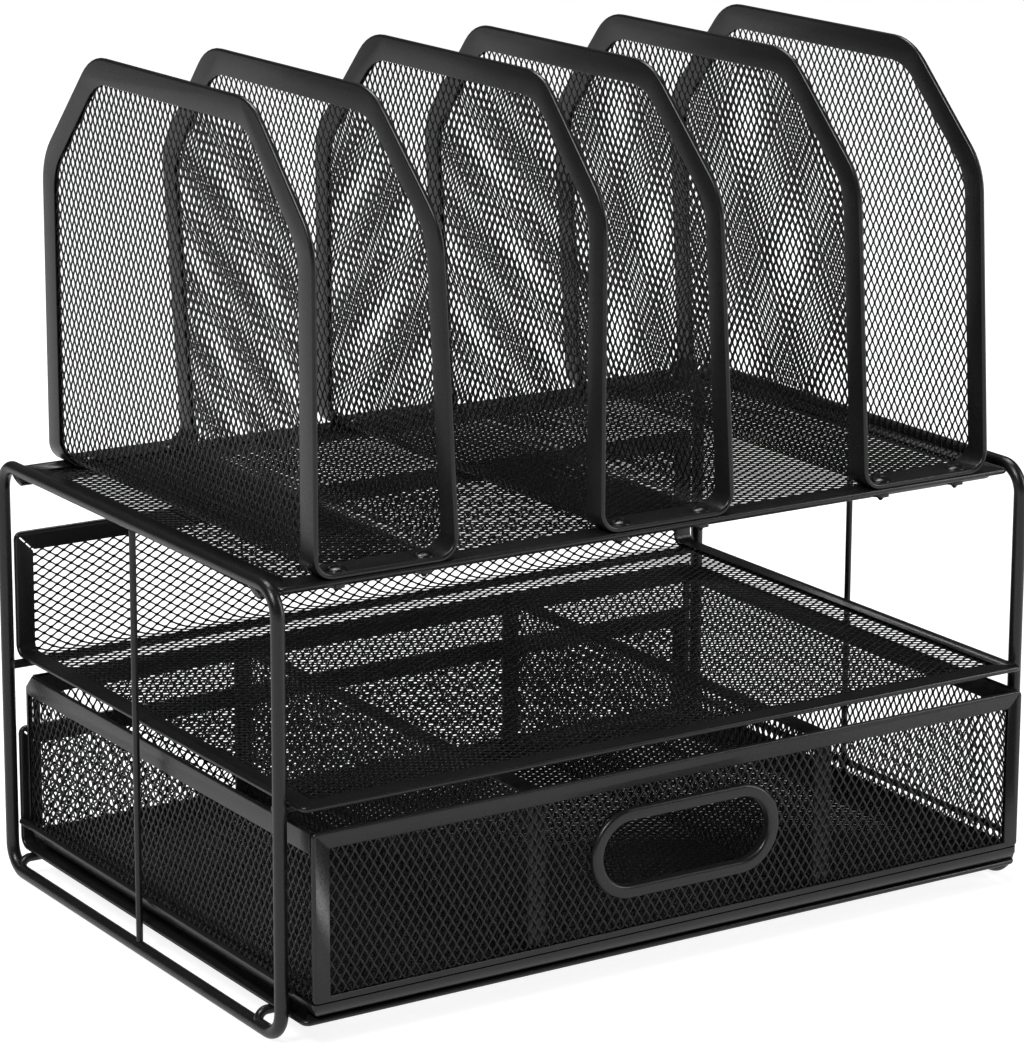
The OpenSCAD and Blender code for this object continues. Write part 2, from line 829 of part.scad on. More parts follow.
side_frame(-1);  // left_side_frame
side_frame(1);  // right_side_frame
upright_wire(-1);  // left_upright_wire
upright_wire(1);  // right_upright_wire
guard_wire(-1);  // left_guard_wire
guard_wire(1);  // right_guard_wire
base_wire(front_leg_y + base_wire_front);  // base_front_wire
base_wire(back_leg_y - base_wire_rear);  // base_rear_wire
middle_wire(cross_front_y);  // middle_front_wire
middle_wire(cross_rear_y);  // middle_rear_wire
top_bar_at(front_leg_y + top_bar_front);  // top_front_bar
top_bar_at(back_leg_y - top_bar_rear);  // top_rear_bar
translate([0, 0, base_z]) tray_mesh();  // base_tray_mesh
translate([0, 0, base_z]) tray_hem_frame(base_front_hem);  // base_tray_hem
translate([0, 0, middle_z]) tray_mesh();  // middle_shelf_mesh
translate([0, 0, middle_z]) tray_hem_frame(tray_hem);  // middle_shelf_hem
top_shelf_mesh();
top_shelf_hem();
holder_mesh(0);  // left_holder_mesh
holder_hem(0);  // left_holder_hem
holder_mesh(1);  // centre_holder_mesh
holder_hem(1);  // centre_holder_hem
holder_mesh(2);  // right_holder_mesh
holder_hem(2);  // right_holder_hem
holder_screws();
holder_nuts();
drawer_front_mesh();
drawer_front_hem();
drawer_side_mesh(-1);  // drawer_left_mesh
drawer_side_hem(-1);  // drawer_left_hem
drawer_side_mesh(1);  // drawer_right_mesh
drawer_side_hem(1);  // drawer_right_hem
drawer_rear_mesh();
drawer_rear_hem();
drawer_floor_mesh();
drawer_bottom_strip();
drawer_handle_ring();
partition_mesh(-1);  // left_partition_mesh
partition_edge(-1);  // left_partition_strip
partition_mesh(1);  // right_partition_mesh
partition_edge(1);  // right_partition_strip
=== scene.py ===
import math

import bmesh
import bpy
import numpy as np
from mathutils import Matrix, Vector


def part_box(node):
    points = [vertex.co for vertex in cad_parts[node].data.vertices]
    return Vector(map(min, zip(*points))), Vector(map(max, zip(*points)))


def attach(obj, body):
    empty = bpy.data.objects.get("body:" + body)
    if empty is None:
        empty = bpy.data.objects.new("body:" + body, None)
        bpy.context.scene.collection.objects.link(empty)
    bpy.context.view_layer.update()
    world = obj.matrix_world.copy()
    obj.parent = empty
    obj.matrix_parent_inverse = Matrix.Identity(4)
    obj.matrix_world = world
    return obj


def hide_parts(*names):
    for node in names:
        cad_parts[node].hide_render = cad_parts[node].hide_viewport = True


# Desk organizer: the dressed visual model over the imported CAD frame. The pieces are worked out in
# millimetres and turned into Blender's metres where a mesh is made. The camera, the floor, the
# lights and the materials are in metres.
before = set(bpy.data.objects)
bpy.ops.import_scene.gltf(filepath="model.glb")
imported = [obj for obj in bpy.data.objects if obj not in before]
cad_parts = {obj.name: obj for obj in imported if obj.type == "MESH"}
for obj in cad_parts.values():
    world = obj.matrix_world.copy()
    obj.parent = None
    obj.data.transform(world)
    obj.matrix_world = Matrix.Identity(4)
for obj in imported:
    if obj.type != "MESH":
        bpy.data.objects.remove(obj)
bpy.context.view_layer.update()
MM = 0.001


def mm_box(node):
    """Least and greatest corner of a CAD node, in millimetres."""
    lo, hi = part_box(node)
    return np.array(lo) / MM, np.array(hi) / MM


# ---------------------------------------------------------------- camera, fitted to the photograph
VIEW_ANGLES = (-32.788, 13.703, 0.224)       # azimuth, elevation and roll, in degrees
VIEW_PLACE = (-0.8067, -1.2470, 0.5361)
VIEW_CLIP = (0.05, 50.0)
FRAME_W, FRAME_H = 1024.0, 1043.0            # pixels, as are the three lengths below
FOCAL, CENTRE_X, CENTRE_Y = 4068.55, 512.0, 440.0
SENSOR = 36.0                                # width of the sensor, in millimetres


def make_camera():
    """The camera at the photograph's place, with its lens shifted to the photograph's middle."""
    azimuth, elevation, roll = (math.radians(a) for a in VIEW_ANGLES)
    back = Vector((math.sin(azimuth) * math.cos(elevation),
                   -math.cos(azimuth) * math.cos(elevation), math.sin(elevation)))
    right = (-back).cross(Vector((0, 0, 1))).normalized()
    up = right.cross(-back)
    right, up = (math.cos(roll) * right + math.sin(roll) * up,
                 math.cos(roll) * up - math.sin(roll) * right)
    data = bpy.data.cameras.new("view_camera")
    data.sensor_width = SENSOR
    data.lens = FOCAL / FRAME_H * SENSOR
    data.shift_x = (FRAME_W / 2 - CENTRE_X) / FRAME_H
    data.shift_y = (CENTRE_Y - FRAME_H / 2) / FRAME_H
    data.clip_start, data.clip_end = VIEW_CLIP
    cam = bpy.data.objects.new("view_camera", data)
    turn = Matrix((right, up, back)).transposed().to_4x4()
    cam.matrix_world = Matrix.Translation(VIEW_PLACE) @ turn
    bpy.context.scene.collection.objects.link(cam)
    bpy.context.scene.camera = cam


# ---------------------------------------------------------------- materials
CLOUD_SCALE, CLOUD_DETAIL = 34.0, 4.0        # broad noise that moves the tone
TONE_STOPS = (0.32, 0.7)                     # its values at the dark tone and at the light one
GRAIN_DETAIL, GRAIN_SPAN = 2.0, (0.3, 0.7)   # fine noise that moves gloss and relief
PEEL_HEIGHT = 0.00012                        # height of the orange peel

FINISHES = {
    "coated_steel": dict(name="satin_black_coat", dark=(0.008, 0.008, 0.0083),
                         light=(0.013, 0.013, 0.0134), shine=0.48, rough=(0.26, 0.36),
                         grain=1900.0, peel=0.30),
    # painted shade: the mesh gets the hems' satin coat at about half its tone, so that the mesh,
    # deep inside the organizer and seen through other layers of mesh, looks as dark as it does in
    # shade
    "coated_mesh": dict(name="satin_black_mesh_coat", dark=(0.004, 0.004, 0.0042),
                        light=(0.008, 0.008, 0.0083), shine=0.3, rough=(0.20, 0.30),
                        grain=2600.0, peel=0.30),
    "screw_steel": dict(name="black_screw_finish", dark=(0.006, 0.006, 0.0065),
                        light=(0.010, 0.010, 0.011), shine=0.5, rough=(0.16, 0.26),
                        grain=3200.0, peel=0.25),
}


def powder_coat(name, dark, light, shine, rough, grain, peel):
    """Satin powder coat: orange-peel relief, faint tone and gloss changes, a duller fine grain."""
    m = bpy.data.materials.new(name)
    m.use_nodes = True
    nodes, links = m.node_tree.nodes, m.node_tree.links
    shader = nodes["Principled BSDF"]
    shader.inputs["Specular IOR Level"].default_value = shine
    where = nodes.new("ShaderNodeTexCoord")
    broad = nodes.new("ShaderNodeTexNoise")
    broad.inputs["Scale"].default_value = CLOUD_SCALE
    broad.inputs["Detail"].default_value = CLOUD_DETAIL
    fine = nodes.new("ShaderNodeTexNoise")
    fine.inputs["Scale"].default_value = grain
    fine.inputs["Detail"].default_value = GRAIN_DETAIL
    for n in (broad, fine):
        links.new(where.outputs["Object"], n.inputs["Vector"])
    tone = nodes.new("ShaderNodeValToRGB")
    for stop, at, colour in zip(tone.color_ramp.elements, TONE_STOPS, (dark, light)):
        stop.position, stop.color = at, (*colour, 1)
    links.new(broad.outputs["Fac"], tone.inputs["Fac"])
    links.new(tone.outputs["Color"], shader.inputs["Base Color"])
    gloss = nodes.new("ShaderNodeMapRange")
    gloss.inputs["From Min"].default_value, gloss.inputs["From Max"].default_value = GRAIN_SPAN
    gloss.inputs["To Min"].default_value, gloss.inputs["To Max"].default_value = rough
    links.new(fine.outputs["Fac"], gloss.inputs["Value"])
    links.new(gloss.outputs["Result"], shader.inputs["Roughness"])
    bump = nodes.new("ShaderNodeBump")
    bump.inputs["Strength"].default_value = peel
    bump.inputs["Distance"].default_value = PEEL_HEIGHT
    links.new(fine.outputs["Fac"], bump.inputs["Height"])
    links.new(bump.outputs["Normal"], shader.inputs["Normal"])
    return m


materials = {slot: powder_coat(**finish) for slot, finish in FINISHES.items()}

# ---------------------------------------------------------------- sizes
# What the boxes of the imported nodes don't give, the same as in the CAD source
HEM = 2.0                                    # thickness of a hem
FOLD = 1.6                                   # setback of a mesh sheet inside its hem
TRAY_BEND = 4.0                              # bend between a tray's floor and its back panel
TRAY_HEM_W, BASE_FRONT_W = 7.6, 10.5         # widths of the trays' hems, the base's wider in front
TOP_HEM_W, TOP_FRONT_W = 7.5, 10.5           # the top shelf's, at its sides and front and rear
DRAWER_HEM_W, DRAWER_TOP_W = 6.5, 6.3        # the drawer front's, at its sides and its top
HEM_CORNER, DRAWER_CORNER = 3.0, 2.0         # rounded corners of the hems
SIDE_CHAMFER = 5.0                           # cut-off top rear corner of a drawer's side
RING_W = 3.7                                 # how far the handle ring covers the mesh
HOLDER_H, HOLDER_BEND = 160.0, 7.0           # a holder's height, and the bends at its foot
HOLDER_HALF_W, HOLDER_HALF_D = 28.0, 100.5
CHAMFER_Y, CHAMFER_Z = 41.0, 43.0            # its slanted top corners, along y and z
CHAMFER_R = 24.0                             # the rounding at both ends of a slant
HOLDERS = {                                  # middle along x, and the uprights' leans in degrees
    "left": (-115.5, 0.0, 3.2),
    "centre": (1.5, 0.0, 3.5),
    "right": (118.5, -3.3, 3.1),
}

# Expanded metal. The table has, for each mesh node, where the openings start along p and q, and
# how far a strand's edges lean out of the sheet.
LONG, SHORT = 6.1, 3.74                      # pitch of the openings, long way and short way
STRAND, THICK = 0.60, 0.34                   # width and thickness of a strand
HALF_KNOT, HALF_FLAT = 0.62, 0.42            # half a knot, and half an opening's flat long side
SHEETS = {
    "base_tray_mesh": ((0.9, 1.1), -0.12),
    "middle_shelf_mesh": ((0.9, 1.1), -0.05),
    "top_shelf_mesh": ((2.2, 0.4), -0.09),
    "left_holder_mesh": ((1.3, 0.7), 0.04),
    "centre_holder_mesh": ((1.3, 0.7), 0.04),
    "right_holder_mesh": ((1.3, 0.7), 0.04),
    "drawer_front_mesh": ((0.6, 0.2), 0.04),
    "drawer_left_mesh": ((1.0, 0.5), 0.04),
    "drawer_right_mesh": ((1.0, 0.5), 0.04),
    "drawer_rear_mesh": ((1.4, 1.0), 0.04),
    "drawer_floor_mesh": ((0.2, 1.6), -0.12),
    "left_partition_mesh": ((0.3, 0.9), 0.04),
    "right_partition_mesh": ((0.3, 0.9), 0.04),
}
TRAY_HIDDEN, HOLDER_HIDDEN = 2.0, 1.5        # how far the mesh ends short of the CAD sheet
SHEET_CORNER, SHEET_CHAMFER = 1.4, 4.1       # its rounded corners, and a drawer side's cut-off one

# Rounding: widths, and shares of them on the lesser edges
NOSE, NOSE_SHARE = 0.9, 0.2                  # a hem's folded edge, and its cut edges
RING_NOSE, RING_SHARE = 1.25, 0.2            # the handle ring's front, and its back
STRIP_NOSE, STRIP_SHARE = 0.5, 0.4           # a partition strip's top, and its ends
SCREW_BREAK, NUT_BREAK = 0.18, 0.25          # all edges of the screws and nuts
SEAM_START, DRAWER_SEAM_START = 0.9, 0.6     # where a mitre seam leaves the outer corner
SEAM_WIDE, SEAM_DEEP = 0.13, 0.16            # its half width, and its depth
SEAM_PAST = 0.3                              # how far its cutter runs past both ends
DOME, TIP = 0.6, 0.8                         # shares of the plain CAD screw that stay,
NUT_DEEP, NUT_WIDE = 0.66, 0.84              # and of the nut
BORE_R = 2.4                                 # between a nut's bore and its flats

# Tolerances
CUT, WELD, TINY = 1e-4, 1e-3, 1e-6           # to cut a sheet, to join its points, to be equal
PROBE = 0.01                                 # steps that tell which way round a form turns
NEAR = 0.1                                   # an edge this near to a level lies on it
IN_FOLD, AT_RIM = 0.75, 0.3                  # edges this near to the sheet, and to the outline
FLAT_ANGLE, EDGE_ANGLE, SHARP_ANGLE = (math.radians(a) for a in (0.8, 28, 40))
NORMAL_WEIGHT = 60                           # how much the large faces set the shading


# ---------------------------------------------------------------- flat and bent sheets
# Each form turns flat coordinates (p, q, n) into the object's (x, y, z) and back. p runs along the
# openings' long way, q along their short way, and n out of the sheet.
class FlatSheet:
    """A plane sheet."""

    def __init__(self, origin, p_axis, q_axis, n_axis):
        self.o, self.axes = np.array(origin, float), np.array([p_axis, q_axis, n_axis], float)

    def to_world(self, flat):
        return self.o + flat @ self.axes

    def to_flat(self, world):
        return (world - self.o) @ self.axes.T


class TraySheet:
    """Floor that bends up into a back panel: p along x, q along y and then up, n inwards."""

    def __init__(self, z, bend_y, r):
        self.z, self.y, self.r = z, bend_y, r
        self.arc = r * math.pi / 2

    def to_world(self, flat):
        p, q, n = flat.T
        a = np.clip((q - self.y) / self.r, 0, math.pi / 2)
        over = np.maximum(q - self.y - self.arc, 0)
        y = np.minimum(q, self.y) + (self.r - n) * np.sin(a)
        z = self.z + self.r - (self.r - n) * np.cos(a) + over
        return np.stack([p, y, z], 1)

    def to_flat(self, world):
        x, y, z = world.T
        cz = self.z + self.r
        floor = (y <= self.y) & (z < cz)
        wall = ~floor & (z >= cz)
        a = np.arctan2(y - self.y, cz - z)
        q = np.where(floor, y, np.where(wall, self.y + self.arc + z - cz, self.y + a * self.r))
        far = np.hypot(y - self.y, cz - z)
        n = np.where(floor, z - self.z, np.where(wall, self.y + self.r - y, self.r - far))
        return np.stack([x, q, n], 1)


class HolderSheet:
    """U-shaped sheet: p from the middle of the floor round the bends and up, q along y."""

    def __init__(self, x, z, half, r, lean_left, lean_right):
        self.x, self.z, self.flat_half, self.r = x, z, half - r, r
        self.lean = {-1: math.radians(lean_left), 1: math.radians(lean_right)}

    def side(self, sign):
        """Lean of one upright, the length of its bend, and the height where the bend ends."""
        lean = self.lean[sign]
        arc = self.r * (math.pi / 2 + lean)
        end_z = self.z + self.r + self.r * math.sin(lean)
        return lean, arc, end_z

    def p_at(self, sign, z):
        """How far round the sheet a height on one upright is."""
        lean, arc, end_z = self.side(sign)
        return self.flat_half + arc + (z - end_z) / math.cos(lean)

    def to_world(self, flat):
        p, q, n = flat.T
        out = np.zeros_like(flat)
        for sign in (-1, 1):
            lean, arc, _ = self.side(sign)
            m = (p >= 0) if sign > 0 else (p < 0)
            s = np.abs(p[m])
            a = np.clip((s - self.flat_half) / self.r, 0, math.pi / 2 + lean) - math.pi / 2
            over = np.maximum(s - self.flat_half - arc, 0)
            far = self.r - n[m]
            x = np.minimum(s, self.flat_half) + far * np.cos(a) - over * math.sin(lean)
            z = self.z + self.r + far * np.sin(a) + over * math.cos(lean)
            out[m] = np.stack([self.x + sign * x, q[m], z], 1)
        return out

    def to_flat(self, world):
        out = np.zeros_like(world)
        cx, cz = self.flat_half, self.z + self.r
        for sign in (-1, 1):
            lean, arc, _ = self.side(sign)
            m = (world[:, 0] >= self.x) if sign > 0 else (world[:, 0] < self.x)
            x, y, z = np.abs(world[m, 0] - self.x), world[m, 1], world[m, 2]
            a = np.arctan2(z - cz, x - cx)
            floor = (x <= cx + TINY) & (z < cz)
            ux, uz = -math.sin(lean), math.cos(lean)
            bx, bz = cx + self.r * math.cos(lean), cz + self.r * math.sin(lean)
            along = (x - bx) * ux + (z - bz) * uz
            wall = ~floor & (along > 0)
            p = np.where(floor, x, np.where(wall, cx + arc + along,
                                            cx + (a + math.pi / 2) * self.r))
            n = np.where(floor, z - self.z,
                         np.where(wall, (bx - x) * uz - (bz - z) * ux,
                                  self.r - np.hypot(x - cx, z - cz)))
            out[m] = np.stack([sign * p, y, n], 1)
        return out


def plane_in(node, facing):
    """The plane sheet in the middle of a node's box, and the box. p is up, or x on a level one."""
    lo, hi = mm_box(node)
    n = np.abs(facing)
    p_axis = (1, 0, 0) if n[2] else (0, 0, 1)
    q_axis = (1, 0, 0) if n[1] else (0, 1, 0)
    return FlatSheet((lo + hi) / 2 * n, p_axis, q_axis, facing), lo, hi


# ---------------------------------------------------------------- outlines
def corner_arc(before, at, after, r, steps=6):
    """Points of a rounded corner."""
    a, b, c = (np.array(v, float) for v in (before, at, after))
    if r <= 0:
        return [tuple(b)]
    u, v = (a - b) / np.linalg.norm(a - b), (c - b) / np.linalg.norm(c - b)
    half = math.acos(float(np.clip(u @ v, -1, 1))) / 2
    m = b + (u + v) / np.linalg.norm(u + v) * r / math.sin(half)
    p, q = b + u * r / math.tan(half), b + v * r / math.tan(half)
    a0 = math.atan2(p[1] - m[1], p[0] - m[0])
    sweep = math.atan2(q[1] - m[1], q[0] - m[0]) - a0
    sweep = (sweep + math.pi) % (2 * math.pi) - math.pi
    angles = [a0 + sweep * i / steps for i in range(steps + 1)]
    return [(m[0] + r * math.cos(t), m[1] + r * math.sin(t)) for t in angles]


def rounded(points, r):
    """A closed outline with all its corners rounded."""
    out = []
    for i, point in enumerate(points):
        out += corner_arc(points[i - 1], point, points[(i + 1) % len(points)], r)
    return out


def rectangle(p0, p1, q0, q1, r=0.0):
    """A rectangle's outline, its corners rounded where a radius is given."""
    return rounded([(p0, q0), (p1, q0), (p1, q1), (p0, q1)], r)


def chamfered(lo, hi, cut):
    """Outline of a drawer's side, p along z and q along y, with its top rear corner cut off."""
    return [(lo[2], lo[1]), (hi[2], lo[1]), (hi[2], hi[1] - cut), (hi[2] - cut, hi[1]),
            (lo[2], hi[1])]


def stadium_ring(cp, cq, half_p, half_q, steps=14):
    """A stadium's outline, its round ends along q."""
    r, straight = half_p, half_q - half_p
    ring = []
    for start, q in ((0, cq + straight), (math.pi, cq - straight)):
        ring += [(cp + r * math.cos(start + math.pi * k / steps),
                  q + r * math.sin(start + math.pi * k / steps)) for k in range(steps + 1)]
    return ring


def holder_outline(form, mid_y, inset):
    """Outline of the unrolled holder, both chamfered tops on it, set in from the edge."""
    slant = math.hypot(CHAMFER_Y, CHAMFER_Z)
    low = HOLDER_H - CHAMFER_Z + inset * (CHAMFER_Z - slant) / CHAMFER_Y
    run = HOLDER_HALF_D - CHAMFER_Y - inset * (slant - CHAMFER_Y) / CHAMFER_Z
    top, side = HOLDER_H - inset, HOLDER_HALF_D - inset
    out = []
    for sign in (1, -1):
        for z, y in ((low, side), (top, run), (top, -run), (low, -side)):
            out.append((sign * form.p_at(sign, form.z - HEM / 2 + z), mid_y + sign * y))
    return rounded(out, CHAMFER_R - inset / 2)


def outline_edges(outline):
    """(start, outward normal) of each side of a convex outline."""
    pts = [np.array(v, float) for v in outline]
    if sum(a[0] * b[1] - b[0] * a[1] for a, b in zip(pts, pts[1:] + pts[:1])) < 0:
        pts.reverse()
    out = []
    for a, b in zip(pts, pts[1:] + pts[:1]):
        d = b - a
        if np.linalg.norm(d) > TINY:
            out.append((a, np.array([d[1], -d[0]]) / np.linalg.norm(d)))
    return out


def beyond(points, outline):
    """How far each point lies outside a convex outline, negative inside."""
    return np.max([(points[:, 0] - a[0]) * n[0] + (points[:, 1] - a[1]) * n[1]
                   for a, n in outline_edges(outline)], axis=0)


# ---------------------------------------------------------------- expanded metal
def lattice(p0, p1, q0, q1, tilt):
    """Expanded metal over a rectangle, in flat coordinates: points and face loops."""
    a, b = LONG / 2 - HALF_KNOT, SHORT / 2 - STRAND
    i0, i1 = int(math.floor(p0 / (LONG / 2))) - 2, int(math.ceil(p1 / (LONG / 2))) + 2
    j0, j1 = int(math.floor(q0 / (SHORT / 2))) - 2, int(math.ceil(q1 / (SHORT / 2))) + 2
    ii, jj = np.meshgrid(np.arange(i0, i1 + 1), np.arange(j0, j1 + 1), indexing="ij")
    is_hole = (ii + jj) % 2 == 0
    index = np.full(ii.shape, -1, int)
    index[is_hole] = np.arange(is_hole.sum())
    cp, cq = ii[is_hole] * LONG / 2, jj[is_hole] * SHORT / 2
    # an opening's corners: right, top right, top left, left, bottom left, bottom right
    shape = np.array([(a, 0, 0), (HALF_FLAT, b, tilt), (-HALF_FLAT, b, tilt),
                      (-a, 0, 0), (-HALF_FLAT, -b, -tilt), (HALF_FLAT, -b, -tilt)])
    sides = len(shape)
    base = np.stack([cp, cq, np.zeros_like(cp)], 1)[:, None, None, :]
    lift = np.array([THICK / 2, -THICK / 2])[None, :, None, None] * np.array([0, 0, 1.0])
    points = (base + lift + shape[None, None, :, :]).reshape(-1, 3)

    def corner(holes, k, back):
        return holes * 2 * sides + back * sides + k

    # the openings' walls
    faces = []
    holes = np.arange(len(cp))
    for k in range(sides):
        n = (k + 1) % sides
        faces.append(np.stack([corner(holes, k, 0), corner(holes, n, 0),
                               corner(holes, n, 1), corner(holes, k, 1)], 1))
    # the knots, each between four openings
    right, left = index[2:, 1:-1], index[:-2, 1:-1]
    top, bottom = index[1:-1, 2:], index[1:-1, :-2]
    knot = ~is_hole[1:-1, 1:-1]
    r, l, t, m = (v[knot] for v in (right, left, top, bottom))
    rings = [[(r, 3), (t, 5), (t, 4), (l, 0), (m, 2), (m, 1)]]
    # the strands, rising and falling between two openings
    first, across = index[:-1, :-1], index[1:, 1:]
    a0, b0 = first[first >= 0], across[first >= 0]
    upper, lower = index[:-1, 1:], index[1:, :-1]
    a1, c1 = upper[upper >= 0], lower[upper >= 0]
    strands = [[(a0, 0), (b0, 4), (b0, 3), (a0, 1)], [(c1, 2), (a1, 0), (a1, 5), (c1, 3)]]
    for group in (rings, strands):
        for back in (0, 1):
            for ring in group:
                loop = [corner(h, k, back) for h, k in ring]
                faces.append(np.stack(loop[::-1] if back else loop, 1))
    return points, faces


def mesh_from(name, points, faces):
    """A mesh from an array of points and arrays of faces, each array with one number of sides."""
    me = bpy.data.meshes.new(name)
    sizes = np.concatenate([np.full(len(f), f.shape[1]) for f in faces])
    loops = np.concatenate([f.ravel() for f in faces])
    me.vertices.add(len(points))
    me.vertices.foreach_set("co", points.astype(np.float32).ravel())
    me.loops.add(len(loops))
    me.loops.foreach_set("vertex_index", loops.astype(np.int32))
    me.polygons.add(len(sizes))
    starts = np.concatenate([[0], np.cumsum(sizes)[:-1]])
    me.polygons.foreach_set("loop_start", starts.astype(np.int32))
    me.update(calc_edges=True)
    me.validate()
    return me


def bisect(bm, a, n, **options):
    """Cuts a flat mesh along one side of an outline, given by its start and outward normal."""
    return bmesh.ops.bisect_plane(bm, geom=bm.verts[:] + bm.edges[:] + bm.faces[:], dist=CUT,
                                  plane_co=(a[0], a[1], 0), plane_no=(n[0], n[1], 0), **options)


def cut_to(bm, outline):
    """Keeps what lies inside a convex outline and closes the cut strands."""
    for a, n in outline_edges(outline):
        cut = bisect(bm, a, n, clear_outer=True)
        edges = [e for e in cut["geom_cut"] if isinstance(e, bmesh.types.BMEdge) and e.is_boundary]
        if edges:
            bmesh.ops.holes_fill(bm, edges=edges, sides=0)


def cut_hole(bm, ring):
    """Opens a convex hole and closes the cut strands."""
    sides = outline_edges(ring)
    for a, n in sides:
        bisect(bm, a, n)
    gone = []
    for f in bm.faces:
        c = f.calc_center_median()
        if all((c.x - a[0]) * n[0] + (c.y - a[1]) * n[1] < CUT for a, n in sides):
            gone.append(f)
    rim = {e for f in gone for e in f.edges}
    bmesh.ops.delete(bm, geom=gone, context="FACES")
    rim = [e for e in rim if e.is_valid and e.is_boundary]
    bmesh.ops.holes_fill(bm, edges=rim, sides=0)


def cut_part(points, faces, masks, cutter):
    """Runs a cutter on some of the faces: the points and face lists that come back."""
    chosen = [f[m] for f, m in zip(faces, masks)]
    used = np.unique(np.concatenate([c.ravel() for c in chosen]))
    renumber = np.full(len(points), -1)
    renumber[used] = np.arange(len(used))
    me = mesh_from("border", points[used], [renumber[c] for c in chosen if len(c)])
    bm = bmesh.new()
    bm.from_mesh(me)
    cutter(bm)
    bm.verts.index_update()
    new_points = np.array([v.co for v in bm.verts], float).reshape(-1, 3)
    by_size = {}
    for f in bm.faces:
        by_size.setdefault(len(f.verts), []).append([v.index for v in f.verts])
    bm.free()
    bpy.data.meshes.remove(me)
    return new_points, [np.array(v) for v in by_size.values()]


def clipped_lattice(outline, hole, shift, tilt):
    """Expanded metal inside a convex outline and round a hole, in flat coordinates."""
    pts = np.array(outline)
    (p0, q0), (p1, q1) = pts.min(0), pts.max(0)
    points, faces = lattice(p0 - shift[0], p1 - shift[0], q0 - shift[1], q1 - shift[1], tilt)
    points[:, 0] += shift[0]
    points[:, 1] += shift[1]
    d = beyond(points, outline)
    inside = [d[f].max(1) < -WELD for f in faces]
    near = [~i & (d[f].min(1) < LONG) for f, i in zip(faces, inside)]
    parts = [cut_part(points, faces, near, lambda bm: cut_to(bm, outline))]
    if hole:
        h = beyond(points, hole)
        at_hole = [(h[f].min(1) < WELD) & i for f, i in zip(faces, inside)]
        inside = [i & ~a for i, a in zip(inside, at_hole)]
        parts.append(cut_part(points, faces, at_hole, lambda bm: cut_hole(bm, hole)))
    all_points, all_faces = [points], [f[i] for f, i in zip(faces, inside)]
    start = len(points)
    for more, fs in parts:
        all_points.append(more)
        all_faces += [f + start for f in fs]
        start += len(more)
    return np.concatenate(all_points), [f for f in all_faces if len(f)]


# ---------------------------------------------------------------- pieces
def finish_piece(obj, body, slot, node):
    """Gives a piece its material, body and slot, in place of its CAD node."""
    obj.data.materials.clear()
    obj.data.materials.append(materials[slot])
    bpy.context.scene.collection.objects.link(obj)
    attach(obj, body)
    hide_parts(node)


def expanded_sheet(node, body, form, outline, hole=None):
    """A node's sheet of expanded metal inside a convex outline (p, q), bent to its form."""
    name = node.replace("_mesh", "_expanded_sheet")
    me = mesh_from(name, *clipped_lattice(outline, hole, *SHEETS[node]))
    bm = bmesh.new()
    bm.from_mesh(me)
    bmesh.ops.delete(bm, geom=[v for v in bm.verts if not v.link_faces], context="VERTS")
    bmesh.ops.remove_doubles(bm, verts=bm.verts[:], dist=WELD)
    bm.to_mesh(me)
    bm.free()
    co = np.zeros(len(me.vertices) * 3, np.float32)
    me.vertices.foreach_get("co", co)
    co = co.reshape(-1, 3).astype(float)
    me.vertices.foreach_set("co", (form.to_world(co) * MM).astype(np.float32).ravel())
    steps = form.to_world(np.eye(3) * PROBE) - form.to_world(np.zeros((1, 3)))
    if np.linalg.det(steps) < 0:
        me.flip_normals()
    me.update()
    me.shade_smooth()
    finish_piece(bpy.data.objects.new(name, me), body, "coated_mesh", node)


def groove_mesh(grooves):
    """Thin boxes, each from its middle and three half axes, as one mesh."""
    me = bpy.data.meshes.new("groove_cutters")
    bm = bmesh.new()
    for middle, *axes in grooves:
        turn = Matrix([tuple(np.array(v) * MM) for v in axes]).transposed().to_4x4()
        place = Matrix.Translation(tuple(np.array(middle) * MM))
        bmesh.ops.create_cube(bm, size=2.0, matrix=place @ turn)
    bmesh.ops.recalc_face_normals(bm, faces=bm.faces[:])
    bm.to_mesh(me)
    bm.free()
    return me


